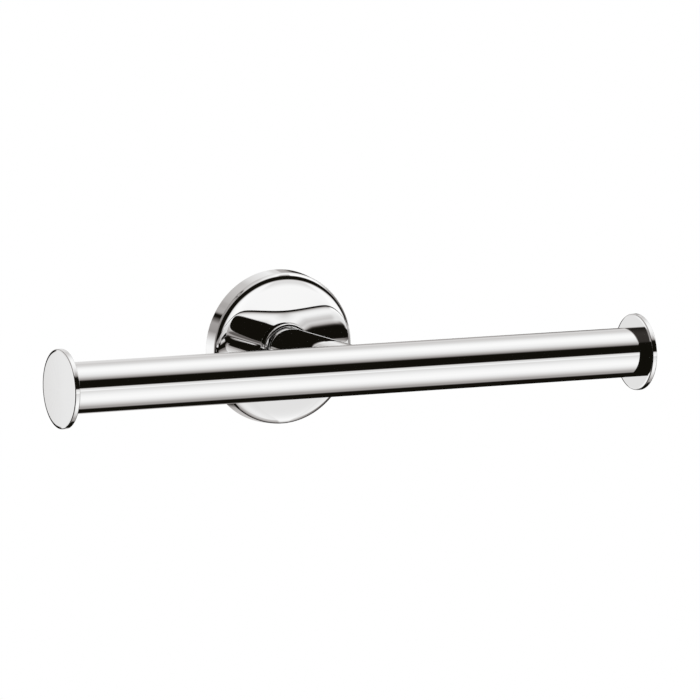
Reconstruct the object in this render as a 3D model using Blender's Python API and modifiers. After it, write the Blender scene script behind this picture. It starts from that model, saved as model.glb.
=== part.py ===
"""Double toilet roll holder: one bar on a post, carried by a round rosette over a bracket on the wall.

The origin is the centre of the bracket's back, on the wall. +X runs along the bar, +Y goes into the
wall and +Z is up. Each piece is turned about its own Z axis: under wall_axis that axis points out of
the wall, and under bar_left and bar_right it points from the bar's middle to one of its ends.
"""

import math

import bmesh
import bpy
from mathutils import Matrix

# Driving dimensions, in metres
GAP = 0.0003
EDGE_BREAK = 0.0003

OVERALL_LENGTH = 0.282
WALL_TO_BAR_AXIS = 0.0785
BAR_DIAMETER = 0.022
BAR_WALL = 0.0012

DISC_DIAMETER = 0.034
DISC_THICKNESS = 0.0025
DISC_CHAMFER = 0.00045
DISC_BEVEL = 0.0007
DISC_BEVEL_FALL = 0.00007
DISC_STUB_DIAMETER = 0.006
DISC_STUB_LENGTH = 0.009
END_PLUG_LENGTH = 0.014

ROSETTE_DIAMETER = 0.069
ROSETTE_DRAFT = 0.0006
ROSETTE_EDGE_RADIUS = 0.0019
ROSETTE_SHOULDER_RADIUS = 0.0038
ROSETTE_CONE_FALL = 0.00067
ROSETTE_RIM_WALL = 0.003
ROSETTE_FACE_WALL = 0.002
ROSETTE_INNER_RADIUS = 0.0015

POST_DIAMETER = 0.020
FOOT_RING_WALL = 0.00135
FOOT_RING_HEIGHT = 0.00245
FOOT_RING_EDGE_RADIUS = 0.0003
FOOT_RING_DOME_RADIUS = 0.0068

CLAMP_BOLT_DIAMETER = 0.006
CLAMP_HEAD_DIAMETER = 0.010
CLAMP_HEAD_HEIGHT = 0.003
CLAMP_SOCKET_FLATS = 0.004
CLAMP_SOCKET_DEPTH = 0.0016
CLAMP_PAST_BAR_AXIS = 0.005
LOCK_WASHER_DIAMETER = 0.011
LOCK_WASHER_THICKNESS = 0.001
LOCATING_PIN_DIAMETER = 0.002
LOCATING_PIN_IN_POST = 0.005
ANCHOR_LENGTH = 0.024

BRACKET_PLATE = 0.0025
BRACKET_RIM_WALL = 0.0022
BRACKET_RIM_CLEARANCE = 0.0005
BOLT_HEAD_CLEARANCE = 0.0005
SLOT_TRAVEL = 0.005

SET_SCREW_DIAMETER = 0.004
SET_SCREW_RECESS = 0.0004
SET_SCREW_TO_WALL = 0.0007
SET_SCREW_FLATS = 0.002
SET_SCREW_SOCKET_DEPTH = 0.0013
DOG_POINT_DIAMETER = 0.0025
DOG_POCKET_DEPTH = 0.0008

SCREW_TO_RIM = 0.006
WALL_SCREW_DIAMETER = 0.004
WALL_SCREW_LENGTH = 0.035
WALL_SCREW_TIP = 0.006
WALL_SCREW_HEAD_DIAMETER = 0.0076
WALL_SCREW_HEAD_HEIGHT = 0.0021
WALL_SCREW_HEAD_EDGE = 0.0008
RECESS_WIDTH = 0.001
RECESS_LENGTH = 0.0042
RECESS_DEPTH = 0.0012
SCREW_WASHER_DIAMETER = 0.010
SCREW_WASHER_THICKNESS = 0.0008

WALL_PLUG_WALL = 0.0007
WALL_PLUG_LENGTH = 0.030
WALL_PLUG_SET_BACK = 0.003
WALL_PLUG_COLLAR = 0.004
WALL_PLUG_RIB = 0.0003
WALL_PLUG_RIBS = 6
WALL_PLUG_SLIT = 0.0008

# Where a broad arc starts and where it joins the tight edge, in degrees from the outward direction
ROSETTE_FACE_TURN = 79
ROSETTE_EDGE_TURN = 58
FOOT_RING_EDGE_TURN = 76

# Shape of the rosette's face and steps round each turned surface
FACE_POWER = 16
FACE_STEPS = 5
ARC_STEPS = 4
WIDE_TURN = 80
MIDDLE_TURN = 64
SMALL_TURN = 32
SCREW_TURN = 20
SHARP_ANGLE = math.radians(35)
MERGE_DISTANCE = 0.00001

# The bar and its ends
BAR_RADIUS = BAR_DIAMETER / 2
BAR_BORE = BAR_RADIUS - BAR_WALL
BAR_END = OVERALL_LENGTH / 2 - DISC_THICKNESS - GAP
CORE_RADIUS = BAR_BORE - GAP
STUB_HOLE = DISC_STUB_DIAMETER / 2 + GAP

# The stack out of the wall: bracket plate, bolt head, lock washer and the rosette's face
BOLT_HEAD_BOTTOM = BRACKET_PLATE + BOLT_HEAD_CLEARANCE
BOLT_HEAD_TOP = BOLT_HEAD_BOTTOM + CLAMP_HEAD_HEIGHT
WASHER_BOTTOM = BOLT_HEAD_TOP + GAP
WASHER_TOP = WASHER_BOTTOM + LOCK_WASHER_THICKNESS
SEAT_CEILING = WASHER_TOP + GAP
SEAT_HEIGHT = SEAT_CEILING + ROSETTE_FACE_WALL
POST_FOOT = SEAT_HEIGHT + GAP
BOLT_TIP = WALL_TO_BAR_AXIS + CLAMP_PAST_BAR_AXIS

# The post and what passes through its foot
POST_RADIUS = POST_DIAMETER / 2
FOOT_RING_BORE = POST_RADIUS + GAP
FOOT_RING_RADIUS = FOOT_RING_BORE + FOOT_RING_WALL
FOOT_RING_TOP = POST_FOOT + FOOT_RING_HEIGHT
BOLT_RADIUS = CLAMP_BOLT_DIAMETER / 2
BOLT_HOLE = BOLT_RADIUS + GAP
LOCK_WASHER_RADIUS = LOCK_WASHER_DIAMETER / 2
PIN_RADIUS = LOCATING_PIN_DIAMETER / 2
PIN_HOLE = PIN_RADIUS + GAP
PIN_OFFSET = (LOCK_WASHER_RADIUS + POST_RADIUS) / 2
PIN_TOP = POST_FOOT + LOCATING_PIN_IN_POST

# The rosette's cup
ROSETTE_RADIUS = ROSETTE_DIAMETER / 2
ROSETTE_TOP_RADIUS = ROSETTE_RADIUS - ROSETTE_DRAFT
ROSETTE_BORE = ROSETTE_RADIUS - ROSETTE_RIM_WALL
SEAT_RADIUS = FOOT_RING_RADIUS + GAP
SHOULDER_REACH = ROSETTE_SHOULDER_RADIUS * math.cos(math.radians(ROSETTE_FACE_TURN))
SHOULDER_INSET = (ROSETTE_SHOULDER_RADIUS - ROSETTE_EDGE_RADIUS) * math.cos(math.radians(ROSETTE_EDGE_TURN))
FACE_RADIUS = ROSETTE_TOP_RADIUS - ROSETTE_EDGE_RADIUS - SHOULDER_INSET + SHOULDER_REACH
FACE_SPAN = FACE_RADIUS - SEAT_RADIUS
FACE_END_FALL = FACE_SPAN / math.tan(math.radians(ROSETTE_FACE_TURN))
FACE_TURN_DOWN = (FACE_END_FALL - ROSETTE_CONE_FALL) / FACE_POWER
RIM_HEIGHT = SEAT_HEIGHT - ROSETTE_CONE_FALL - FACE_TURN_DOWN
RIM_CEILING = RIM_HEIGHT - ROSETTE_FACE_WALL
INNER_CORNER = RIM_CEILING - ROSETTE_INNER_RADIUS

# The bracket inside it and the screws through both
BRACKET_RADIUS = ROSETTE_BORE - GAP
BRACKET_FLOOR_RADIUS = BRACKET_RADIUS - BRACKET_RIM_WALL
BRACKET_RIM_HEIGHT = INNER_CORNER - BRACKET_RIM_CLEARANCE
SET_SCREW_RADIUS = SET_SCREW_DIAMETER / 2
SET_SCREW_HOLE = SET_SCREW_RADIUS + GAP
SET_SCREW_HEIGHT = SET_SCREW_TO_WALL + SET_SCREW_HOLE
DOG_RADIUS = DOG_POINT_DIAMETER / 2
WALL_SCREW_RADIUS = WALL_SCREW_DIAMETER / 2
WALL_SCREW_HOLE = WALL_SCREW_RADIUS + GAP
SCREW_WASHER_RADIUS = SCREW_WASHER_DIAMETER / 2
WALL_SCREW_OFFSET = BRACKET_FLOOR_RADIUS - SCREW_TO_RIM - SCREW_WASHER_RADIUS
SCREW_WASHER_BOTTOM = BRACKET_PLATE + GAP
SCREW_WASHER_TOP = SCREW_WASHER_BOTTOM + SCREW_WASHER_THICKNESS
SCREW_HEAD_BOTTOM = SCREW_WASHER_TOP + GAP

# Colour, metallic and roughness
FINISHES = {
    "chrome": ((0.93, 0.93, 0.93), 1.0, 0.04),
    "zinc": ((0.62, 0.63, 0.65), 1.0, 0.35),
    "steel": ((0.72, 0.72, 0.72), 1.0, 0.28),
    "brass": ((0.78, 0.62, 0.33), 1.0, 0.3),
    "nylon": ((0.42, 0.43, 0.45), 0.0, 0.55),
}


def clear_scene():
    for obj in list(bpy.data.objects):
        bpy.data.objects.remove(obj)


def new_collection(name):
    collection = bpy.data.collections.new(name)
    bpy.context.scene.collection.children.link(collection)
    return collection


def new_empty(name, location, rotation):
    empty = bpy.data.objects.new(name, None)
    empty.empty_display_size = POST_DIAMETER
    empty.location = location
    empty.rotation_euler = rotation
    PARTS.objects.link(empty)
    return empty


def make_material(name, finish):
    color, metallic, roughness = FINISHES[finish]
    material = bpy.data.materials.new(name)
    material.use_nodes = True
    shader = material.node_tree.nodes["Principled BSDF"]
    shader.inputs["Base Color"].default_value = (*color, 1.0)
    shader.inputs["Metallic"].default_value = metallic
    shader.inputs["Roughness"].default_value = roughness
    return material


def new_object(name, bm, parent, location, rotation):
    mesh = bpy.data.meshes.new(name)
    bm.to_mesh(mesh)
    bm.free()
    obj = bpy.data.objects.new(name, mesh)
    obj.parent = parent
    obj.location = location
    obj.rotation_euler = rotation
    return obj


def new_cutter(name, bm, parent, location, rotation):
    cutter = new_object(name, bm, parent, location, rotation)
    cutter.hide_render = True
    cutter.display_type = "WIRE"
    CUTTERS.objects.link(cutter)
    return cutter


def turned(name, profile, steps, finish, parent, location=(0, 0, 0), hollow=False):
    """A solid of revolution from (radius, height) points, down its outer side.

    A hollow one's profile closes on itself, and a solid one's starts and ends on the axis.
    """
    bm = bmesh.new()
    points = [bm.verts.new((radius, 0, height)) for radius, height in profile]
    for first, second in zip(points, points[1:]):
        bm.edges.new((first, second))
    if hollow:
        bm.edges.new((points[-1], points[0]))
    obj = new_object(name, bm, parent, location, (0, 0, 0))
    obj.data.materials.append(make_material(name + "_" + finish, finish))
    PARTS.objects.link(obj)
    screw = obj.modifiers.new("turn", "SCREW")
    screw.axis = "Z"
    screw.angle = 2 * math.pi
    screw.steps = steps
    screw.render_steps = steps
    screw.use_merge_vertices = True
    screw.merge_threshold = MERGE_DISTANCE
    return obj


def arc(centre_radius, centre_height, radius, start, end):
    """Points of an arc in a profile, its angles in degrees from the outward direction."""
    points = []
    for step in range(ARC_STEPS + 1):
        turn = math.radians(start + (end - start) * step / ARC_STEPS)
        points.append((centre_radius + radius * math.cos(turn), centre_height + radius * math.sin(turn)))
    return points


def edge_arcs(outer, top, edge_radius, broad_radius, start, join):
    """A broad arc from a height, running into a tight edge that ends at an outer radius."""
    reach = broad_radius - edge_radius
    inset = reach * math.cos(math.radians(join))
    drop = reach * math.sin(math.radians(join))
    edge_centre = outer - edge_radius
    edge_height = top + drop - broad_radius * math.sin(math.radians(start))
    broad = arc(edge_centre - inset, edge_height - drop, broad_radius, start, join)
    return broad[:-1] + arc(edge_centre, edge_height, edge_radius, join, 0)


def rod_cutter(name, radius, low, high, sides, parent, location=(0, 0, 0), rotation=(0, 0, 0)):
    """A round cutter, or a prism with few sides, along its own Z from low to high."""
    bm = bmesh.new()
    bmesh.ops.create_cone(
        bm,
        cap_ends=True,
        segments=sides,
        radius1=radius,
        radius2=radius,
        depth=high - low,
        matrix=Matrix.Translation((0, 0, (low + high) / 2)),
    )
    return new_cutter(name, bm, parent, location, rotation)


def hex_cutter(name, flats, low, high, parent):
    return rod_cutter(name, flats / math.sqrt(3), low, high, 6, parent)


def box_cutter(name, size, parent, location, rotation=(0, 0, 0)):
    bm = bmesh.new()
    bmesh.ops.create_cube(bm, size=1, matrix=Matrix.Diagonal((*size, 1)))
    return new_cutter(name, bm, parent, location, rotation)


def slot_cutter(name, radius, travel, low, high, parent, location):
    """A cutter with two round ends, its length along X."""
    half = SMALL_TURN // 2
    turns = [math.pi * (step / half - 0.5) for step in range(half + 1)]
    outline = [(travel / 2 + radius * math.cos(turn), radius * math.sin(turn)) for turn in turns]
    outline += [(-x, -y) for x, y in outline]
    bm = bmesh.new()
    base = bm.faces.new([bm.verts.new((x, y, low)) for x, y in outline])
    grown = bmesh.ops.extrude_face_region(bm, geom=[base])["geom"]
    top = [item for item in grown if isinstance(item, bmesh.types.BMVert)]
    bmesh.ops.translate(bm, verts=top, vec=(0, 0, high - low))
    bmesh.ops.recalc_face_normals(bm, faces=bm.faces)
    return new_cutter(name, bm, parent, location, (0, 0, 0))


def cut(obj, *cutters):
    for cutter in cutters:
        boolean = obj.modifiers.new(cutter.name, "BOOLEAN")
        boolean.operation = "DIFFERENCE"
        boolean.solver = "EXACT"
        boolean.object = cutter


def tube_profile(outer, inner, high, low):
    return [(inner, high), (outer, high), (outer, low), (inner, low)]


def face_point(share):
    """A point of the rosette's face: a shallow cone from the foot ring, turning down at its edge."""
    fall = ROSETTE_CONE_FALL * share + FACE_TURN_DOWN * share**FACE_POWER
    return SEAT_RADIUS + FACE_SPAN * share, SEAT_HEIGHT - fall


def make_rosette():
    profile = [(BOLT_HOLE, SEAT_HEIGHT)]
    profile += [face_point(1 - (1 - step / FACE_STEPS) ** 2) for step in range(FACE_STEPS)]
    profile += edge_arcs(
        ROSETTE_TOP_RADIUS,
        RIM_HEIGHT,
        ROSETTE_EDGE_RADIUS,
        ROSETTE_SHOULDER_RADIUS,
        ROSETTE_FACE_TURN,
        ROSETTE_EDGE_TURN,
    )
    profile += [(ROSETTE_RADIUS, EDGE_BREAK), (ROSETTE_RADIUS - EDGE_BREAK, 0), (ROSETTE_BORE, 0)]
    profile += arc(ROSETTE_BORE - ROSETTE_INNER_RADIUS, INNER_CORNER, ROSETTE_INNER_RADIUS, 0, 90)
    profile += [(SEAT_RADIUS, SEAT_CEILING), (BOLT_HOLE, SEAT_CEILING)]
    rosette = turned("rosette", profile, WIDE_TURN, "chrome", WALL_AXIS, hollow=True)
    pin_hole = rod_cutter(
        "cut_rosette_pin", PIN_HOLE, 0, 2 * SEAT_HEIGHT, SCREW_TURN, WALL_AXIS, (0, PIN_OFFSET, 0)
    )
    screw_hole = rod_cutter(
        "cut_rosette_screw", SET_SCREW_HOLE, BRACKET_RADIUS, ROSETTE_DIAMETER, SCREW_TURN, SCREW_AXIS
    )
    cut(rosette, pin_hole, screw_hole)


def make_foot_ring():
    """The ring at the post's foot, domed from its bore to its rounded edge."""
    inset = (FOOT_RING_DOME_RADIUS - FOOT_RING_EDGE_RADIUS) * math.cos(math.radians(FOOT_RING_EDGE_TURN))
    dome_centre = FOOT_RING_RADIUS - FOOT_RING_EDGE_RADIUS - inset
    start = math.degrees(math.acos((FOOT_RING_BORE - dome_centre) / FOOT_RING_DOME_RADIUS))
    profile = edge_arcs(
        FOOT_RING_RADIUS,
        FOOT_RING_TOP,
        FOOT_RING_EDGE_RADIUS,
        FOOT_RING_DOME_RADIUS,
        start,
        FOOT_RING_EDGE_TURN,
    )
    profile += [(FOOT_RING_RADIUS, POST_FOOT), (FOOT_RING_BORE, POST_FOOT)]
    turned("foot_ring", profile, MIDDLE_TURN, "chrome", WALL_AXIS, hollow=True)


def make_post():
    profile = tube_profile(POST_RADIUS, BOLT_HOLE, WALL_TO_BAR_AXIS, POST_FOOT)
    post = turned("post", profile, MIDDLE_TURN, "chrome", WALL_AXIS, hollow=True)
    saddle = rod_cutter(
        "cut_post_saddle",
        BAR_RADIUS + GAP,
        -POST_DIAMETER,
        POST_DIAMETER,
        MIDDLE_TURN,
        WALL_AXIS,
        (0, 0, WALL_TO_BAR_AXIS),
        (0, math.pi / 2, 0),
    )
    pin_hole = rod_cutter(
        "cut_post_pin", PIN_HOLE, 0, PIN_TOP + GAP, SCREW_TURN, WALL_AXIS, (0, PIN_OFFSET, 0)
    )
    cut(post, saddle, pin_hole)


def make_clamp_bolt():
    head_radius = CLAMP_HEAD_DIAMETER / 2
    profile = [(0, BOLT_TIP), (BOLT_RADIUS - EDGE_BREAK, BOLT_TIP)]
    profile += [(BOLT_RADIUS, BOLT_TIP - EDGE_BREAK), (BOLT_RADIUS, BOLT_HEAD_TOP)]
    profile += [(head_radius, BOLT_HEAD_TOP), (head_radius, BOLT_HEAD_BOTTOM + EDGE_BREAK)]
    profile += [(head_radius - EDGE_BREAK, BOLT_HEAD_BOTTOM), (0, BOLT_HEAD_BOTTOM)]
    bolt = turned("clamp_bolt", profile, SMALL_TURN, "steel", WALL_AXIS)
    socket_floor = BOLT_HEAD_BOTTOM + CLAMP_SOCKET_DEPTH
    cut(bolt, hex_cutter("cut_clamp_socket", CLAMP_SOCKET_FLATS, 0, socket_floor, WALL_AXIS))


def make_lock_washer():
    profile = tube_profile(LOCK_WASHER_RADIUS, BOLT_HOLE, WASHER_TOP, WASHER_BOTTOM)
    turned("lock_washer", profile, SMALL_TURN, "steel", WALL_AXIS, hollow=True)


def make_locating_pin():
    profile = [(0, PIN_TOP), (PIN_RADIUS - EDGE_BREAK, PIN_TOP), (PIN_RADIUS, PIN_TOP - EDGE_BREAK)]
    profile += [(PIN_RADIUS, SEAT_CEILING), (0, SEAT_CEILING)]
    turned("locating_pin", profile, SCREW_TURN, "steel", WALL_AXIS, (0, PIN_OFFSET, 0))


def make_bar_tube():
    profile = tube_profile(BAR_RADIUS, BAR_BORE, BAR_END, -BAR_END)
    bar = turned("bar_tube", profile, MIDDLE_TURN, "chrome", BAR_RIGHT, hollow=True)
    cut(bar, rod_cutter("cut_bar_bolt", BOLT_HOLE, 0, WALL_TO_BAR_AXIS, SMALL_TURN, WALL_AXIS))


def make_anchor_block():
    end = ANCHOR_LENGTH / 2
    side = end - EDGE_BREAK
    profile = [(0, end), (CORE_RADIUS - EDGE_BREAK, end), (CORE_RADIUS, side)]
    profile += [(radius, -height) for radius, height in reversed(profile)]
    block = turned("anchor_block", profile, MIDDLE_TURN, "zinc", BAR_RIGHT)
    cut(block, rod_cutter("cut_anchor_thread", BOLT_HOLE, 0, BOLT_TIP + GAP, SMALL_TURN, WALL_AXIS))


def make_end_plug(side, axis):
    low = BAR_END - END_PLUG_LENGTH
    profile = [(STUB_HOLE, BAR_END), (CORE_RADIUS, BAR_END), (CORE_RADIUS, low + EDGE_BREAK)]
    profile += [(CORE_RADIUS - EDGE_BREAK, low), (STUB_HOLE, low)]
    turned("end_plug_" + side, profile, MIDDLE_TURN, "brass", axis, hollow=True)


def make_end_disc(side, axis):
    """The disc that stops the roll, with the stub that screws into the end plug."""
    radius = DISC_DIAMETER / 2
    rim = radius - DISC_CHAMFER
    flat = rim - DISC_BEVEL
    face = OVERALL_LENGTH / 2
    rim_face = face - DISC_BEVEL_FALL
    back = face - DISC_THICKNESS
    rim_back = back + DISC_BEVEL_FALL
    stub_radius = DISC_STUB_DIAMETER / 2
    stub_end = back - DISC_STUB_LENGTH
    profile = [(0, face), (flat, face), (rim, rim_face), (radius, rim_face - DISC_CHAMFER)]
    profile += [(radius, rim_back + DISC_CHAMFER), (rim, rim_back), (flat, back), (stub_radius, back)]
    profile += [(stub_radius, stub_end + EDGE_BREAK), (stub_radius - EDGE_BREAK, stub_end), (0, stub_end)]
    turned("end_disc_" + side, profile, WIDE_TURN, "chrome", axis)


def make_wall_bracket():
    profile = [(0, BRACKET_PLATE), (BRACKET_FLOOR_RADIUS, BRACKET_PLATE)]
    profile += [(BRACKET_FLOOR_RADIUS, BRACKET_RIM_HEIGHT), (BRACKET_RADIUS, BRACKET_RIM_HEIGHT)]
    profile += [(BRACKET_RADIUS, 0), (0, 0)]
    bracket = turned("wall_bracket", profile, WIDE_TURN, "zinc", WALL_AXIS)
    for name, height in WALL_SCREWS.items():
        slot = slot_cutter(
            "cut_slot_" + name,
            WALL_SCREW_HOLE,
            SLOT_TRAVEL,
            -BRACKET_PLATE,
            2 * BRACKET_PLATE,
            WALL_AXIS,
            (0, height, 0),
        )
        cut(bracket, slot)
    pocket_floor = BRACKET_RADIUS - DOG_POCKET_DEPTH
    pocket = rod_cutter(
        "cut_dog_pocket", DOG_RADIUS + GAP, pocket_floor, ROSETTE_RADIUS, SCREW_TURN, SCREW_AXIS
    )
    cut(bracket, pocket)


def make_set_screw():
    """The grub screw in the rosette's rim, whose dog point holds in a pocket of the bracket."""
    head = ROSETTE_TOP_RADIUS - SET_SCREW_RECESS
    point = BRACKET_RADIUS - DOG_POCKET_DEPTH + GAP
    profile = [(0, head), (SET_SCREW_RADIUS - EDGE_BREAK, head), (SET_SCREW_RADIUS, head - EDGE_BREAK)]
    profile += [(SET_SCREW_RADIUS, ROSETTE_BORE), (DOG_RADIUS, ROSETTE_BORE)]
    profile += [(DOG_RADIUS, point), (0, point)]
    screw = turned("set_screw", profile, SCREW_TURN, "steel", SCREW_AXIS)
    socket_floor = head - SET_SCREW_SOCKET_DEPTH
    cut(screw, hex_cutter("cut_set_screw", SET_SCREW_FLATS, socket_floor, ROSETTE_RADIUS, SCREW_AXIS))


def make_screw_washer(name, height):
    profile = tube_profile(SCREW_WASHER_RADIUS, WALL_SCREW_HOLE, SCREW_WASHER_TOP, SCREW_WASHER_BOTTOM)
    turned("screw_washer_" + name, profile, SMALL_TURN, "steel", WALL_AXIS, (0, height, 0), hollow=True)


def make_wall_screw(name, height):
    """A pan-head screw with a cross recess."""
    head_radius = WALL_SCREW_HEAD_DIAMETER / 2
    head_top = SCREW_HEAD_BOTTOM + WALL_SCREW_HEAD_HEIGHT
    point = SCREW_HEAD_BOTTOM - WALL_SCREW_LENGTH
    profile = [(0, head_top), (head_radius / 2, head_top - EDGE_BREAK)]
    profile += [(head_radius, SCREW_HEAD_BOTTOM + WALL_SCREW_HEAD_EDGE), (head_radius, SCREW_HEAD_BOTTOM)]
    profile += [(WALL_SCREW_RADIUS, SCREW_HEAD_BOTTOM), (WALL_SCREW_RADIUS, point + WALL_SCREW_TIP)]
    profile += [(0, point)]
    screw = turned("wall_screw_" + name, profile, SCREW_TURN, "steel", WALL_AXIS, (0, height, 0))
    for degrees in (45, 135):
        arm = box_cutter(
            "cut_recess_" + name + "_" + str(degrees),
            (RECESS_LENGTH, RECESS_WIDTH, 2 * RECESS_DEPTH),
            WALL_AXIS,
            (0, height, head_top),
            (0, 0, math.radians(degrees)),
        )
        cut(screw, arm)


def make_wall_plug(name, height):
    """The ribbed plug that the screw spreads in the wall, slit from below its collar to its end."""
    rib_radius = WALL_SCREW_HOLE + WALL_PLUG_WALL
    root_radius = rib_radius - WALL_PLUG_RIB
    top = -WALL_PLUG_SET_BACK
    ribs_top = top - WALL_PLUG_COLLAR
    end = top - WALL_PLUG_LENGTH
    pitch = (ribs_top - end) / WALL_PLUG_RIBS
    profile = [(WALL_SCREW_HOLE, top), (rib_radius, top), (rib_radius, ribs_top)]
    for rib in range(WALL_PLUG_RIBS):
        start = ribs_top - rib * pitch
        profile += [(root_radius, start - pitch / 4), (root_radius, start - pitch / 2)]
        profile += [(rib_radius, start - pitch)]
    profile += [(WALL_SCREW_HOLE, end)]
    plug = turned("wall_plug_" + name, profile, SCREW_TURN, "nylon", WALL_AXIS, (0, height, 0), hollow=True)
    slit_top = ribs_top - pitch / 2
    slit_size = (3 * rib_radius, WALL_PLUG_SLIT, 2 * (slit_top - end))
    cut(plug, box_cutter("cut_slit_" + name, slit_size, WALL_AXIS, (0, height, end)))


def finish_meshes():
    """Applies the modifiers and shades every piece smooth up to its sharp edges."""
    bpy.context.view_layer.update()
    graph = bpy.context.evaluated_depsgraph_get()
    solids = [obj for obj in PARTS.objects if obj.type == "MESH"]
    meshes = [bpy.data.meshes.new_from_object(obj.evaluated_get(graph)) for obj in solids]
    for obj, mesh in zip(solids, meshes):
        obj.modifiers.clear()
        obj.data = mesh
        mesh.shade_smooth()
        mesh.set_sharp_from_angle(angle=SHARP_ANGLE)


clear_scene()
PARTS = new_collection("double_toilet_roll_holder")
CUTTERS = new_collection("cutters")
WALL_AXIS = new_empty("wall_axis", (0, 0, 0), (math.pi / 2, 0, 0))
BAR_RIGHT = new_empty("bar_right", (0, -WALL_TO_BAR_AXIS, 0), (0, math.pi / 2, 0))
BAR_LEFT = new_empty("bar_left", (0, -WALL_TO_BAR_AXIS, 0), (0, -math.pi / 2, 0))
SCREW_AXIS = new_empty("set_screw_axis", (0, -SET_SCREW_HEIGHT, 0), (math.pi, 0, 0))
WALL_SCREWS = {"upper": WALL_SCREW_OFFSET, "lower": -WALL_SCREW_OFFSET}

make_rosette()
make_foot_ring()
make_post()
make_clamp_bolt()
make_lock_washer()
make_locating_pin()
make_bar_tube()
make_anchor_block()
make_end_plug("left", BAR_LEFT)
make_end_plug("right", BAR_RIGHT)
make_end_disc("left", BAR_LEFT)
make_end_disc("right", BAR_RIGHT)
make_wall_bracket()
make_set_screw()
for side_name, side_height in WALL_SCREWS.items():
    make_screw_washer(side_name, side_height)
    make_wall_screw(side_name, side_height)
    make_wall_plug(side_name, side_height)
finish_meshes()
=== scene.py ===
"""The double toilet roll holder, dressed for a studio photograph on white.

The chromed pieces that show are turned again here with fine profiles, in the places of their CAD
nodes, and the hidden pieces keep their CAD shapes. Lengths are in metres, and heights are distances
out of the wall, along -Y.
"""

import math

import bmesh
import bpy
from mathutils import Matrix, Vector


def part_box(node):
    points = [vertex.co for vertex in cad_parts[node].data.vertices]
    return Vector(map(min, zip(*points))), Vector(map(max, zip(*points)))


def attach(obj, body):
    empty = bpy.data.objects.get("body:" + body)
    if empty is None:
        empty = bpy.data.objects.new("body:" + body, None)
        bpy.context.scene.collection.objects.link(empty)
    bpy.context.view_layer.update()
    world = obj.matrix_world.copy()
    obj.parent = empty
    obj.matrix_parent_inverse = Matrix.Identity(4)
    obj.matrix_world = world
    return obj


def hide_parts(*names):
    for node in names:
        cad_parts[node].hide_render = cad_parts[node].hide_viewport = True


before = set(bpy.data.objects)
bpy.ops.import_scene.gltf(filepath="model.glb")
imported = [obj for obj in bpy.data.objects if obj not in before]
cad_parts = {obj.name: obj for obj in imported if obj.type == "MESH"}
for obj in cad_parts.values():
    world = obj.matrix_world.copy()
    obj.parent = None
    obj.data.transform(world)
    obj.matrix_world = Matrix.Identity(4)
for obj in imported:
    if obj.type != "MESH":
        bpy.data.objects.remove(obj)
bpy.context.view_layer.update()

# The camera, from the outlines of the discs, the bar and the rosette: turns in degrees, and the
# lens and sensor in millimetres
CAMERA_AZIMUTH = 27.251
CAMERA_ELEVATION = 8.218
CAMERA_ROLL = 0.604
CAMERA_DISTANCE = 2.3944
CAMERA_LENS = 284.77
CAMERA_SENSOR = 36.0
CAMERA_REACH = 100.0
CAMERA_TARGET = Vector((-0.00314, -0.0785, 0.00889))

# Sizes that the CAD boxes don't give. GAP is the CAD's clearance between two pieces, and SEAM is
# what is left here between the bar and a disc
GAP = 0.0003
SEAM = 0.00001
EDGE_BREAK = 0.00015
BAR_WALL = 0.0012
BOLT_HOLE = 0.0033
STUB_RADIUS = 0.003
DISC_CHAMFER = 0.00045
DISC_BEVEL = 0.0007
DISC_BEVEL_FALL = 0.00007
ROSETTE_DRAFT = 0.0006
ROSETTE_EDGE_RADIUS = 0.0019
ROSETTE_SHOULDER_RADIUS = 0.0038
ROSETTE_RIM_WALL = 0.003
ROSETTE_FACE_WALL = 0.002
ROSETTE_INNER_RADIUS = 0.0015
FOOT_RING_EDGE_RADIUS = 0.00066
FOOT_RING_DOME_RADIUS = 0.008
FOOT_RING_INNER_RADIUS = 0.0002

# The rosette's face: its cone's fall, a small fall more beside the foot ring and how wide that one
# is, and the power by which the face turns down near its edge
ROSETTE_CONE_FALL = 0.00062
ROSETTE_SWELL = 0.00004
ROSETTE_SWELL_SPAN = 0.004
FACE_POWER = 16

# Where a broad arc starts and where it joins the tight edge, in degrees from the outward direction
ROSETTE_FACE_TURN = 79
ROSETTE_EDGE_TURN = 58
FOOT_RING_EDGE_TURN = 76

# Fineness of the turned surfaces
TURN_STEPS = 256
ARC_STEPS = 20
BACK_EDGE_STEPS = 4
INNER_EDGE_STEPS = 6
DISC_EDGE_STEPS = 8
FACE_STEPS = 48
HOLE_STEPS = 48
LONG_SEGMENT = 0.001
BRACE_INSET = 0.00008
MERGE_DISTANCE = 1e-7
SHARP_ANGLE = math.radians(32)

WHITE = (1, 1, 1, 1)
FLOOR_DROP = 0.35
FLOOR_RADIUS = 12.0
FLOOR_STEPS = 64
FLOOR_COLOR = (0.8, 0.8, 0.8, 1)
FLOOR_ROUGHNESS = 0.7

# The light for the pieces that aren't mirrors: the world's grey, and lamps by name, place and power
SOFT_LIGHT = (0.7, 0.7, 0.7, 1)
LAMP_SIZE = 0.8
LAMPS = (
    ("key_lamp", (-0.9, -1.2, 1.0), 10.0),
    ("rear_lamp", (0.8, 1.1, 0.9), 12.0),
)


def node_size(name):
    """A turned node's place: its (radius, low height, high height) for an axis along Y."""
    low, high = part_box(name)
    return (high.x - low.x) / 2, -high.y, -low.y


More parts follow.
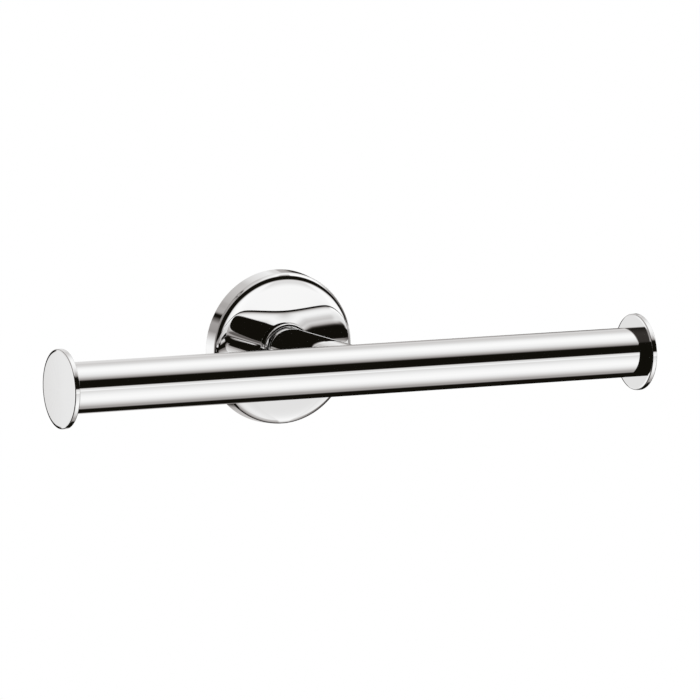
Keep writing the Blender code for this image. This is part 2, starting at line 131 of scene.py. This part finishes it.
BAR_LOW, BAR_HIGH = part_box("bar_tube")
BAR_RADIUS = (BAR_HIGH.z - BAR_LOW.z) / 2
BAR_END = BAR_HIGH.x
BAR_HEIGHT = -(BAR_LOW.y + BAR_HIGH.y) / 2
DISC_LOW, DISC_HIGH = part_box("end_disc_right")
DISC_RADIUS = (DISC_HIGH.z - DISC_LOW.z) / 2
DISC_FACE = DISC_HIGH.x
STUB_END = DISC_LOW.x
ROSETTE_RADIUS, _, SEAT_HEIGHT = node_size("rosette")
FOOT_RING_RADIUS, RING_LOW, RING_HIGH = node_size("foot_ring")
POST_RADIUS, POST_LOW, _ = node_size("post")

# The rosette's face, from the foot ring to where its rounded edge begins
ROSETTE_TOP_RADIUS = ROSETTE_RADIUS - ROSETTE_DRAFT
SHOULDER_REACH = ROSETTE_SHOULDER_RADIUS * math.cos(math.radians(ROSETTE_FACE_TURN))
SHOULDER_PAST_EDGE = ROSETTE_SHOULDER_RADIUS - ROSETTE_EDGE_RADIUS
SHOULDER_INSET = SHOULDER_PAST_EDGE * math.cos(math.radians(ROSETTE_EDGE_TURN))
FACE_START = FOOT_RING_RADIUS + GAP
FACE_SPAN = ROSETTE_TOP_RADIUS - ROSETTE_EDGE_RADIUS - SHOULDER_INSET + SHOULDER_REACH - FACE_START
FACE_END_FALL = FACE_SPAN / math.tan(math.radians(ROSETTE_FACE_TURN))
FACE_TURN_DOWN = (FACE_END_FALL - ROSETTE_CONE_FALL) / FACE_POWER

OUT_OF_WALL = Matrix.Rotation(math.pi / 2, 4, "X")
AT_BAR = Matrix.Translation((0, -BAR_HEIGHT, 0))
TO_RIGHT = AT_BAR @ Matrix.Rotation(math.pi / 2, 4, "Y")
TO_LEFT = AT_BAR @ Matrix.Rotation(-math.pi / 2, 4, "Y")


def braced(profile):
    """The profile with a point close to both ends of each long segment, for straight shading."""
    points = [profile[0]]
    for first, last in zip(profile, profile[1:]):
        length = math.dist(first, last)
        if length > LONG_SEGMENT:
            for share in (BRACE_INSET / length, 1 - BRACE_INSET / length):
                points.append(tuple(a + (b - a) * share for a, b in zip(first, last)))
        points.append(last)
    return points


def turned(name, profile, place, hollow=False):
    """A solid turned about its own Z from (radius, height) points, put in place by a matrix."""
    if hollow:
        profile = profile + profile[:1]
    bm = bmesh.new()
    points = [bm.verts.new((radius, 0, height)) for radius, height in braced(profile)]
    edges = [bm.edges.new(pair) for pair in zip(points, points[1:])]
    bmesh.ops.spin(
        bm,
        geom=points + edges,
        cent=(0, 0, 0),
        axis=(0, 0, 1),
        angle=2 * math.pi,
        steps=TURN_STEPS,
        use_merge=True,
    )
    bmesh.ops.remove_doubles(bm, verts=bm.verts, dist=MERGE_DISTANCE)
    bmesh.ops.recalc_face_normals(bm, faces=bm.faces)
    bmesh.ops.transform(bm, matrix=place, verts=bm.verts)
    return new_piece(name, bm)


def new_piece(name, bm):
    mesh = bpy.data.meshes.new(name)
    bm.to_mesh(mesh)
    bm.free()
    piece = bpy.data.objects.new(name, mesh)
    bpy.context.scene.collection.objects.link(piece)
    return piece


def arc(centre_radius, centre_height, radius, start, end, steps=ARC_STEPS):
    """Points of an arc in a profile, its angles in degrees from the outward direction."""
    points = []
    for step in range(steps + 1):
        turn = math.radians(start + (end - start) * step / steps)
        across, along = radius * math.cos(turn), radius * math.sin(turn)
        points.append((centre_radius + across, centre_height + along))
    return points


def edge_arcs(outer, top, edge_radius, broad_radius, start, join):
    """A broad arc from a height, running into a tight edge that ends at an outer radius."""
    reach = broad_radius - edge_radius
    inset = reach * math.cos(math.radians(join))
    drop = reach * math.sin(math.radians(join))
    edge_centre = outer - edge_radius
    edge_height = top + drop - broad_radius * math.sin(math.radians(start))
    broad = arc(edge_centre - inset, edge_height - drop, broad_radius, start, join)
    return broad[:-1] + arc(edge_centre, edge_height, edge_radius, join, 0)


def rod(radius, low, high, place, steps=HOLE_STEPS):
    """A cutter along its own Z, put in place by a matrix."""
    bm = bmesh.new()
    bmesh.ops.create_cone(
        bm,
        cap_ends=True,
        segments=steps,
        radius1=radius,
        radius2=radius,
        depth=high - low,
        matrix=place @ Matrix.Translation((0, 0, (low + high) / 2)),
    )
    return new_piece("cutter", bm)


def cut(piece, cutter):
    boolean = piece.modifiers.new("cut", "BOOLEAN")
    boolean.operation = "DIFFERENCE"
    boolean.solver = "EXACT"
    boolean.object = cutter
    graph = bpy.context.evaluated_depsgraph_get()
    mesh = bpy.data.meshes.new_from_object(piece.evaluated_get(graph))
    piece.modifiers.clear()
    piece.data = mesh
    bpy.data.objects.remove(cutter)


def face_point(share):
    """A point of the rosette's face, a shallow cone that turns down at its edge."""
    level = min(1.0, FACE_SPAN * share / ROSETTE_SWELL_SPAN)
    swell = ROSETTE_SWELL * level * (2 - level)
    fall = ROSETTE_CONE_FALL * share + FACE_TURN_DOWN * share**FACE_POWER
    return FACE_START + FACE_SPAN * share, SEAT_HEIGHT - swell - fall


def make_rosette():
    """The wall cover, a shallow cup with holes for the clamp bolt, the set screw and the pin."""
    bore = ROSETTE_RADIUS - ROSETTE_RIM_WALL
    rim_height = SEAT_HEIGHT - ROSETTE_SWELL - ROSETTE_CONE_FALL - FACE_TURN_DOWN
    seat_ceiling = SEAT_HEIGHT - ROSETTE_FACE_WALL
    corner_height = rim_height - ROSETTE_FACE_WALL - ROSETTE_INNER_RADIUS
    profile = [(BOLT_HOLE, SEAT_HEIGHT)]
    profile += [face_point(step / FACE_STEPS) for step in range(FACE_STEPS)]
    profile += edge_arcs(
        ROSETTE_TOP_RADIUS,
        rim_height,
        ROSETTE_EDGE_RADIUS,
        ROSETTE_SHOULDER_RADIUS,
        ROSETTE_FACE_TURN,
        ROSETTE_EDGE_TURN,
    )
    profile += arc(ROSETTE_RADIUS - EDGE_BREAK, EDGE_BREAK, EDGE_BREAK, 0, -90, BACK_EDGE_STEPS)
    profile += [(bore, 0)]
    inner_centre = bore - ROSETTE_INNER_RADIUS
    profile += arc(inner_centre, corner_height, ROSETTE_INNER_RADIUS, 0, 90, INNER_EDGE_STEPS)
    profile += [(FOOT_RING_RADIUS, seat_ceiling), (BOLT_HOLE, seat_ceiling)]
    rosette = turned("rosette_shell", profile, OUT_OF_WALL, hollow=True)
    low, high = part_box("set_screw")
    screw_centre = (low + high) / 2
    downwards = Matrix.Translation((0, screw_centre.y, 0)) @ Matrix.Rotation(math.pi, 4, "X")
    cut(rosette, rod((high.x - low.x) / 2 + GAP, bore - GAP, 2 * ROSETTE_RADIUS, downwards))
    pin_low, pin_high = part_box("locating_pin")
    pin_place = Matrix.Translation((0, 0, (pin_low.z + pin_high.z) / 2)) @ OUT_OF_WALL
    cut(rosette, rod((pin_high.x - pin_low.x) / 2 + GAP, 0, 2 * SEAT_HEIGHT, pin_place))
    return rosette


def make_foot_ring():
    """The collar round the post, its domed top meeting the rounded inner edge without a corner."""
    bore = POST_RADIUS + GAP
    inner_centre = bore + FOOT_RING_INNER_RADIUS
    dome_past_edge = FOOT_RING_DOME_RADIUS - FOOT_RING_EDGE_RADIUS
    inset = dome_past_edge * math.cos(math.radians(FOOT_RING_EDGE_TURN))
    dome_centre = FOOT_RING_RADIUS - FOOT_RING_EDGE_RADIUS - inset
    reach = FOOT_RING_DOME_RADIUS - FOOT_RING_INNER_RADIUS
    start = math.degrees(math.acos((inner_centre - dome_centre) / reach))
    inner_height = RING_HIGH - FOOT_RING_INNER_RADIUS
    profile = arc(inner_centre, inner_height, FOOT_RING_INNER_RADIUS, 180, start)
    profile += edge_arcs(
        FOOT_RING_RADIUS,
        profile.pop()[1],
        FOOT_RING_EDGE_RADIUS,
        FOOT_RING_DOME_RADIUS,
        start,
        FOOT_RING_EDGE_TURN,
    )
    profile += [(FOOT_RING_RADIUS, RING_LOW), (bore, RING_LOW)]
    return turned("foot_collar", profile, OUT_OF_WALL, hollow=True)


def make_post():
    """The arm with a bore for the clamp bolt, its end cut to a saddle for the bar."""
    profile = [(BOLT_HOLE, BAR_HEIGHT), (POST_RADIUS, BAR_HEIGHT)]
    profile += [(POST_RADIUS, POST_LOW), (BOLT_HOLE, POST_LOW)]
    post = turned("post_arm", profile, OUT_OF_WALL, hollow=True)
    saddle = rod(BAR_RADIUS + GAP, -2 * POST_RADIUS, 2 * POST_RADIUS, TO_RIGHT, TURN_STEPS)
    cut(post, saddle)
    return post


def make_bar():
    """The bar, which reaches the discs here: the CAD's gap would shine between them."""
    bore = BAR_RADIUS - BAR_WALL
    end = BAR_END + GAP - SEAM
    profile = [(bore, end), (BAR_RADIUS, end), (BAR_RADIUS, -end), (bore, -end)]
    bar = turned("roll_bar", profile, TO_RIGHT, hollow=True)
    cut(bar, rod(BOLT_HOLE, 0, BAR_HEIGHT, OUT_OF_WALL))
    return bar


def make_disc(name, place):
    """The end disc, each side falling slightly towards its rounded edge."""
    back = BAR_END + GAP
    edge_centre = DISC_RADIUS - DISC_CHAMFER
    fall_start = edge_centre - DISC_BEVEL
    slope = math.degrees(math.atan(DISC_BEVEL_FALL / DISC_BEVEL))
    outer = DISC_FACE - DISC_BEVEL_FALL - DISC_CHAMFER
    inner = back + DISC_BEVEL_FALL + DISC_CHAMFER
    profile = [(0, DISC_FACE), (fall_start, DISC_FACE)]
    profile += arc(edge_centre, outer, DISC_CHAMFER, 90 - slope, 0, DISC_EDGE_STEPS)
    profile += arc(edge_centre, inner, DISC_CHAMFER, 0, slope - 90, DISC_EDGE_STEPS)
    profile += [(fall_start, back), (STUB_RADIUS, back), (STUB_RADIUS, STUB_END), (0, STUB_END)]
    return turned(name, profile, place)


def add_node(tree, kind, inputs=None, **settings):
    """A node with its settings, and its inputs set to values or linked to sockets."""
    node = tree.nodes.new(kind)
    for key, value in settings.items():
        setattr(node, key, value)
    for key, value in (inputs or {}).items():
        if isinstance(value, bpy.types.NodeSocket):
            tree.links.new(value, node.inputs[key])
        else:
            node.inputs[key].default_value = value
    return node


def math_socket(tree, operation, *values):
    inputs = dict(enumerate(values))
    return add_node(tree, "ShaderNodeMath", inputs, operation=operation).outputs[0]


def vector_socket(tree, operation, *values):
    inputs = dict(enumerate(values))
    return add_node(tree, "ShaderNodeVectorMath", inputs, operation=operation).outputs[0]


def mixed_shader(tree, share, first, second):
    inputs = {0: share, 1: first.outputs[0], 2: second.outputs[0]}
    return add_node(tree, "ShaderNodeMixShader", inputs)


def ramp_socket(tree, factor, stops):
    """A Color Ramp from (position, grey) or (position, red, green, blue) stops in order."""
    node = add_node(tree, "ShaderNodeValToRGB", {"Fac": factor})
    ramp = node.color_ramp
    while len(ramp.elements) < len(stops):
        ramp.elements.new(1.0)
    for element, (position, *tone) in zip(ramp.elements, stops):
        element.position = position
        element.color = (*(tone if len(tone) == 3 else tone * 3), 1.0)
    return node.outputs["Color"]


# The studio in the chrome: each panel's brightness by the turn about the bar's axis, in degrees
# from the front and upwards. The upper one has two ramps, for the middle of its reach and beside it
UPPER_PANEL = (
    (38, 0.02),
    (45, 0.32),
    (51, 0.49),
    (58, 0.72),
    (69, 0.91),
    (84, 1.01),
    (96, 1.0),
    (108, 0.89),
    (118, 0.74),
    (134, 0.62),
    (146, 0.72),
    (160, 0.73),
    (168, 0.75),
    (176, 0.79),
    (180, 0.5),
)
SIDE_PANEL = (
    (34, 0.0),
    (38, 0.14),
    (42, 0.5),
    (48, 1.0),
    (55, 1.14),
    (65, 1.08),
    (80, 1.0),
    (100, 0.94),
    (120, 0.86),
    (135, 0.84),
    (145, 0.92),
    (160, 0.93),
    (172, 0.8),
    (180, 0.0),
)
LOWER_PANEL = (
    (-104, 0.0),
    (-102, 0.04),
    (-99, 0.22),
    (-96, 0.36),
    (-87, 0.37),
    (-81, 0.51),
    (-75, 0.63),
    (-68, 0.77),
    (-57, 0.94),
    (-44, 1.01),
    (-30, 0.97),
    (-20, 0.88),
    (-12, 0.78),
    (-3, 0.67),
    (3, 0.66),
    (6.9, 0.0),
)
FRONT_STRIP = (
    (-52, 0.0),
    (-44, 0.85),
    (-34, 0.86),
    (-22, 0.84),
    (-15, 0.79),
    (-13, 0.77),
    (-9, 0.7),
    (-7.8, 0.72),
    (-6.6, 0.95),
    (-5, 0.99),
    (0, 0.97),
    (3.5, 0.9),
    (6.9, 0.0),
)
BACK_PANEL = ((-180, 0.9), (-174, 1.0), (-149, 1.0), (-141, 0.0), (165, 0.0), (180, 0.9))

# How each panel fades along the bar's direction, from -1 at the left to 1 at the right, and the
# share that the side ramp has in the upper one
UPPER_REACH = (
    (-1, 0.25),
    (-0.6, 0.38),
    (-0.5, 0.42),
    (-0.3, 0.53),
    (-0.1, 0.62),
    (0.0, 0.63),
    (0.1, 0.79),
    (0.3, 0.92),
    (0.37, 1.0),
    (0.82, 1.0),
    (0.92, 0.3),
    (1, 0.15),
)
SIDE_SHARE = ((0.34, 1.0), (0.39, 0.0), (0.5, 0.0), (0.51, 1.0))
LOWER_REACH = (
    (-0.26, 0.0),
    (-0.23, 0.42),
    (0, 0.5),
    (0.1, 0.56),
    (0.2, 0.6),
    (0.3, 0.57),
    (0.38, 0.57),
    (0.407, 1.0),
    (0.5, 1.0),
    (0.515, 0.78),
    (0.56, 0.65),
    (0.66, 0.35),
    (0.8, 0.1),
)
FRONT_REACH = (
    (-0.15, 0.0),
    (-0.08, 0.7),
    (0.05, 0.8),
    (0.2, 0.95),
    (0.33, 1.05),
    (0.4, 1.0),
    (0.51, 1.0),
    (0.53, 1.05),
    (0.75, 1.05),
    (0.85, 0.5),
)
BACK_REACH = (
    (-0.9, 0.2),
    (-0.7, 0.6),
    (-0.6, 1.0),
    (-0.55, 0.95),
    (-0.5, 0.79),
    (-0.45, 0.84),
    (-0.402, 0.85),
    (-0.385, 0.0),
    (0.03, 0.0),
    (0.1, 0.47),
    (0.34, 0.56),
    (0.425, 0.6),
    (0.44, 0.0),
    (0.83, 0.0),
    (0.9, 1.0),
)

# The upper panel's lower edge fades in between two turns, which rise to the left by shares of
# EDGE_RISE, all in degrees
EDGE_RISE = 55.0
EDGE_SHARES = (
    (-1, 0.8),
    (-0.85, 0.7),
    (-0.75, 0.42),
    (-0.55, 0.25),
    (-0.45, 0.14),
    (-0.2, 0.05),
    (-0.1, 0.0),
)
EDGE_START = 37.2
EDGE_FULL = 43.0

# Dark flags, which shade the panels: each a share by turn and a share along the bar's direction
FLAGS = (
    (
        (
            (-162, 0.0),
            (-158, 1.0),
            (35, 1.0),
            (60, 0.94),
            (100, 0.92),
            (135, 0.96),
            (158, 1.0),
            (163, 0.0),
        ),
        ((-0.52, 0.0), (-0.51, 1.0), (-0.49, 1.0), (-0.48, 0.0)),
    ),
    (
        ((30, 0.0), (45, 0.7), (126, 0.75), (136, 0.1), (158, 0.1), (167, 0.9), (180, 0.9)),
        ((-0.425, 0.0), (-0.405, 1.0), (-0.36, 1.0), (-0.33, 0.0)),
    ),
    (
        ((147, 0.0), (152, 1.0), (158, 1.0), (163, 0.0)),
        ((-0.56, 0.0), (-0.545, 0.95), (-0.49, 0.9), (-0.465, 0.0)),
    ),
    (
        ((-50, 0.0), (-42, 1.0), (0, 1.0), (7, 0.0)),
        ((-0.3, 0.0), (-0.28, 1.0), (-0.2, 1.0), (-0.17, 0.0)),
    ),
    (
        ((-4, 0.0), (-2, 0.2), (0.5, 0.22), (3.5, 0.12), (5, 0.0)),
        ((0.402, 0.0), (0.41, 1.0), (0.497, 1.0), (0.505, 0.0)),
    ),
    (
        ((146, 0.0), (152, 0.1), (156, 0.33), (162, 0.45), (180, 0.45)),
        ((0.425, 0.0), (0.435, 1.0), (0.47, 1.0), (0.485, 0.0)),
    ),
    (
        (
            (146, 0.0),
            (152, 0.13),
            (156, 0.23),
            (160, 0.36),
            (164, 0.56),
            (168, 0.8),
            (172, 0.96),
            (180, 1.0),
        ),
        ((0.465, 0.0), (0.485, 1.0), (0.66, 1.0), (0.74, 0.0)),
    ),
    (
        ((138, 0.0), (146, 0.35), (152, 0.6), (158, 0.9), (162, 1.0), (180, 1.0)),
        ((0.5, 0.0), (0.54, 0.7), (0.58, 0.95), (0.62, 1.0), (0.68, 0.5), (0.74, 0.0)),
    ),
)

# The darkness between the panels, and their own colour by brightness: white where they are full,
# warmer as they fade
ROOM_TONE = (0.0060, 0.0052, 0.0035)
WARMTH = (
    (0.0, 1.12, 0.96, 0.9),
    (0.03, 1.1, 0.97, 0.91),
    (0.12, 1.065, 0.98, 0.945),
    (0.3, 1.04, 0.985, 0.967),
    (0.58, 1.018, 0.994, 0.985),
    (0.85, 1.0, 1.0, 1.0),
)


def by_turn(tree, turn_share, stops):
    """A ramp whose stops are turns from -180 to 180 degrees."""
    return ramp_socket(tree, turn_share, [((degrees + 180) / 360, grey) for degrees, grey in stops])


def by_reach(tree, reach_share, stops):
    """A ramp whose stops are places along the bar's direction from -1 to 1."""
    return ramp_socket(tree, reach_share, [((reach + 1) / 2, grey) for reach, grey in stops])


def studio_color(tree):
    """The room as the chrome sees it: panels above, below and behind, and darkness between them."""
    direction = add_node(tree, "ShaderNodeTexCoord").outputs["Generated"]
    parts = add_node(tree, "ShaderNodeSeparateXYZ", {0: direction}).outputs
    forward = math_socket(tree, "MULTIPLY", parts["Y"], -1.0)
    turn = math_socket(tree, "ARCTAN2", parts["Z"], forward)
    turn_share = math_socket(tree, "MULTIPLY_ADD", turn, 0.5 / math.pi, 0.5)
    reach_share = math_socket(tree, "MULTIPLY_ADD", parts["X"], 0.5, 0.5)
    rise = math_socket(tree, "MULTIPLY", by_reach(tree, reach_share, EDGE_SHARES), EDGE_RISE)
    edge = add_node(
        tree,
        "ShaderNodeMapRange",
        {
            "Value": math_socket(tree, "DEGREES", turn),
            "From Min": math_socket(tree, "ADD", rise, EDGE_START),
            "From Max": math_socket(tree, "ADD", rise, EDGE_FULL),
        },
    ).outputs["Result"]

    def panel(turns, reaches):
        across = by_reach(tree, reach_share, reaches)
        return math_socket(tree, "MULTIPLY", by_turn(tree, turn_share, turns), across)

    middle = by_turn(tree, turn_share, UPPER_PANEL)
    beside = math_socket(tree, "SUBTRACT", by_turn(tree, turn_share, SIDE_PANEL), middle)
    side_share = by_reach(tree, reach_share, SIDE_SHARE)
    upper = math_socket(tree, "MULTIPLY_ADD", beside, side_share, middle)
    upper = math_socket(tree, "MULTIPLY", upper, by_reach(tree, reach_share, UPPER_REACH))
    upper = math_socket(tree, "MULTIPLY", upper, edge)
    high = math_socket(tree, "MAXIMUM", upper, panel(BACK_PANEL, BACK_REACH))
    front = panel(FRONT_STRIP, FRONT_REACH)
    low = math_socket(tree, "MAXIMUM", panel(LOWER_PANEL, LOWER_REACH), front)
    panels = math_socket(tree, "ADD", high, low)
    for turns, reaches in FLAGS:
        clear = math_socket(tree, "SUBTRACT", 1.0, panel(turns, reaches))
        panels = math_socket(tree, "MULTIPLY", panels, clear)
    glow = vector_socket(tree, "MULTIPLY", panels, ramp_socket(tree, panels, WARMTH))
    return vector_socket(tree, "ADD", glow, ROOM_TONE)


def make_world():
    """White to the camera; in reflections a studio of soft panels in a dark room."""
    world = bpy.data.worlds.new("studio")
    bpy.context.scene.world = world
    world.use_nodes = True
    tree = world.node_tree
    tree.nodes.clear()
    studio = add_node(tree, "ShaderNodeBackground", {"Color": studio_color(tree)})
    white = add_node(tree, "ShaderNodeBackground", {"Color": WHITE})
    soft = add_node(tree, "ShaderNodeBackground", {"Color": SOFT_LIGHT})
    light_path = add_node(tree, "ShaderNodeLightPath").outputs
    camera_ray, clear_ray = light_path["Is Camera Ray"], light_path["Is Transmission Ray"]
    lit = mixed_shader(tree, light_path["Is Glossy Ray"], soft, studio)
    direct = math_socket(tree, "MAXIMUM", camera_ray, clear_ray)
    seen = mixed_shader(tree, direct, lit, white)
    add_node(tree, "ShaderNodeOutputWorld", {"Surface": seen.outputs[0]})


def new_material(name):
    material = bpy.data.materials.new(name)
    material.use_nodes = True
    tree = material.node_tree
    return material, tree, tree.nodes["Principled BSDF"]


def spread(tree, noise, share_range, value_range=(0.0, 1.0)):
    """A noise's middle range spread over a range of values."""
    inputs = {"Value": noise, "From Min": share_range[0], "From Max": share_range[1]}
    inputs |= {"To Min": value_range[0], "To Max": value_range[1]}
    return add_node(tree, "ShaderNodeMapRange", inputs).outputs["Result"]


CHROME_COLOR = (0.94, 0.94, 0.94, 1)
CHROME_ROUGHNESS = (0.008, 0.022)
HAZES_PER_METRE = 60.0
HAZE_RANGE = (0.35, 0.7)


def make_chrome():
    """Polished chrome plate: nearly a mirror, with a faint haze where hands have been."""
    material, tree, shader = new_material("polished_chrome")
    shader.inputs["Base Color"].default_value = CHROME_COLOR
    shader.inputs["Metallic"].default_value = 1.0
    place = add_node(tree, "ShaderNodeTexCoord").outputs["Object"]
    noise = {"Vector": place, "Scale": HAZES_PER_METRE, "Detail": 6.0}
    haze = add_node(tree, "ShaderNodeTexNoise", noise).outputs["Fac"]
    roughness = spread(tree, haze, HAZE_RANGE, CHROME_ROUGHNESS)
    tree.links.new(roughness, shader.inputs["Roughness"])
    return material


# The hidden pieces' finishes. Grains are counted per metre along X, Y and Z, relief is the bump's
# height, and a thread has a pitch along Y
STEEL = {
    "dark": (0.55, 0.55, 0.57, 1),
    "light": (0.80, 0.80, 0.80, 1),
    "metallic": 0.85,
    "roughness": (0.2, 0.4),
}
FINISHES = {
    "cast_zinc": {
        "dark": (0.42, 0.43, 0.46, 1),
        "light": (0.72, 0.73, 0.75, 1),
        "metallic": 0.55,
        "roughness": (0.32, 0.55),
        "grains": (700, 700, 700),
        "relief": 6e-5,
    },
    "turned_steel": {**STEEL, "grains": (150, 3000, 150), "relief": 3e-5},
    "screw_steel": {**STEEL, "grains": (700, 700, 700), "relief": 3e-4, "pitch": 0.0014},
    "turned_brass": {
        "dark": (0.62, 0.46, 0.20, 1),
        "light": (0.86, 0.71, 0.42, 1),
        "metallic": 0.85,
        "roughness": (0.2, 0.4),
        "grains": (3000, 150, 150),
        "relief": 3e-5,
    },
    "moulded_nylon": {
        "dark": (0.34, 0.35, 0.37, 1),
        "light": (0.50, 0.51, 0.53, 1),
        "metallic": 0.0,
        "roughness": (0.4, 0.6),
        "grains": (1500, 1500, 1500),
        "relief": 6e-5,
    },
}
FINISHED_NODES = {
    "cast_zinc": ("wall_bracket", "anchor_block"),
    "turned_steel": (
        "clamp_bolt",
        "lock_washer",
        "locating_pin",
        "set_screw",
        "screw_washer_upper",
        "screw_washer_lower",
    ),
    "screw_steel": ("wall_screw_upper", "wall_screw_lower"),
    "turned_brass": ("end_plug_left", "end_plug_right"),
    "moulded_nylon": ("wall_plug_upper", "wall_plug_lower"),
}
STAINS_PER_METRE = 90.0
TONE_RANGE = (0.35, 0.65)
GRAIN_RANGE = (0.3, 0.7)
GRAIN_ON_THREAD = 0.05

# A Wave Texture's phase in radians per metre at scale 1, and the Mix node's colour sockets
WAVE_PHASE = 20.0
MIX_FACTOR = 0
MIX_FIRST_COLOR = 6
MIX_SECOND_COLOR = 7
MIX_RESULT_COLOR = 2


def make_finish(name, dark, light, metallic, roughness, grains, relief, pitch=None):
    """A worked or moulded surface: blotches of tone, fine grain in colour, gloss and relief."""
    material, tree, shader = new_material(name)
    shader.inputs["Metallic"].default_value = metallic
    place = add_node(tree, "ShaderNodeTexCoord").outputs["Object"]
    grain_place = vector_socket(tree, "MULTIPLY", place, grains)
    fine = {"Vector": grain_place, "Scale": 1.0, "Detail": 5.0}
    grain = add_node(tree, "ShaderNodeTexNoise", fine).outputs["Fac"]
    broad = {"Vector": place, "Scale": STAINS_PER_METRE, "Detail": 3.0}
    stain = add_node(tree, "ShaderNodeTexNoise", broad).outputs["Fac"]
    tone = math_socket(tree, "MULTIPLY", math_socket(tree, "ADD", grain, stain), 0.5)
    light_share = spread(tree, tone, TONE_RANGE)
    colors = {MIX_FACTOR: light_share, MIX_FIRST_COLOR: dark, MIX_SECOND_COLOR: light}
    color = add_node(tree, "ShaderNodeMix", colors, data_type="RGBA")
    tree.links.new(color.outputs[MIX_RESULT_COLOR], shader.inputs["Base Color"])
    gloss = spread(tree, grain, GRAIN_RANGE, roughness)
    tree.links.new(gloss, shader.inputs["Roughness"])
    height = grain
    if pitch:
        turns = {"Vector": place, "Scale": 2 * math.pi / (WAVE_PHASE * pitch)}
        thread = add_node(tree, "ShaderNodeTexWave", turns, bands_direction="Y").outputs["Fac"]
        height = math_socket(tree, "MULTIPLY_ADD", grain, GRAIN_ON_THREAD, thread)
    bump = add_node(tree, "ShaderNodeBump", {"Height": height, "Distance": relief})
    tree.links.new(bump.outputs["Normal"], shader.inputs["Normal"])
    return material


def make_lamp(name, place, power):
    """A soft lamp aimed at the bar, left out of reflections."""
    data = bpy.data.lights.new(name, "AREA")
    data.shape = "DISK"
    data.size = LAMP_SIZE
    data.energy = power
    lamp = bpy.data.objects.new(name, data)
    lamp.location = place
    lamp.rotation_euler = (CAMERA_TARGET - Vector(place)).to_track_quat("-Z", "Y").to_euler()
    lamp.visible_glossy = False
    bpy.context.scene.collection.objects.link(lamp)


def make_camera():
    azimuth = math.radians(CAMERA_AZIMUTH)
    elevation = math.radians(CAMERA_ELEVATION)
    level = math.cos(elevation)
    ahead = Vector((math.sin(azimuth) * level, math.cos(azimuth) * level, -math.sin(elevation)))
    right = Vector((math.cos(azimuth), -math.sin(azimuth), 0))
    up = right.cross(ahead)
    data = bpy.data.cameras.new("camera")
    data.lens = CAMERA_LENS
    data.sensor_width = CAMERA_SENSOR
    data.clip_end = CAMERA_REACH
    camera = bpy.data.objects.new("camera", data)
    bpy.context.scene.collection.objects.link(camera)
    turn = Matrix((right, up, -ahead)).transposed().to_4x4()
    roll = Matrix.Rotation(math.radians(CAMERA_ROLL), 4, "Z")
    camera.matrix_world = Matrix.Translation(CAMERA_TARGET - ahead * CAMERA_DISTANCE) @ turn @ roll
    bpy.context.scene.camera = camera


def make_floor():
    """A floor far below, white to the camera and left out of reflections."""
    bm = bmesh.new()
    bmesh.ops.create_circle(bm, cap_ends=True, segments=FLOOR_STEPS, radius=FLOOR_RADIUS)
    floor = new_piece("floor", bm)
    floor.location = (0, 0, -FLOOR_DROP)
    material, tree, shader = new_material("pale_floor")
    shader.inputs["Base Color"].default_value = FLOOR_COLOR
    shader.inputs["Roughness"].default_value = FLOOR_ROUGHNESS
    white = add_node(tree, "ShaderNodeEmission", {"Color": WHITE, "Strength": 1.0})
    camera_ray = add_node(tree, "ShaderNodeLightPath").outputs["Is Camera Ray"]
    seen = mixed_shader(tree, camera_ray, shader, white)
    tree.links.new(seen.outputs[0], tree.nodes["Material Output"].inputs["Surface"])
    floor.data.materials.append(material)
    floor.visible_glossy = False


def dress(piece, material, slot, *nodes):
    """Shades a new piece, gives it its material and puts it in the place of its CAD nodes."""
    piece.data.materials.clear()
    piece.data.materials.append(material)
    piece.data.shade_smooth()
    piece.data.set_sharp_from_angle(angle=SHARP_ANGLE)
    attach(piece, "root")
    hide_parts(*nodes)


bpy.context.scene.view_settings.view_transform = "Standard"
make_world()
make_camera()
make_floor()
for lamp_name, lamp_place, lamp_power in LAMPS:
    make_lamp(lamp_name, lamp_place, lamp_power)
chrome = make_chrome()
dress(make_rosette(), chrome, "chrome", "rosette")
dress(make_foot_ring(), chrome, "chrome", "foot_ring")
dress(make_post(), chrome, "chrome", "post")
dress(make_bar(), chrome, "chrome", "bar_tube")
dress(make_disc("end_cap_left", TO_LEFT), chrome, "chrome", "end_disc_left")
dress(make_disc("end_cap_right", TO_RIGHT), chrome, "chrome", "end_disc_right")
for finish_name, node_names in FINISHED_NODES.items():
    finish = make_finish(finish_name, **FINISHES[finish_name])
    for node_name in node_names:
        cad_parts[node_name].material_slots[0].material = finish
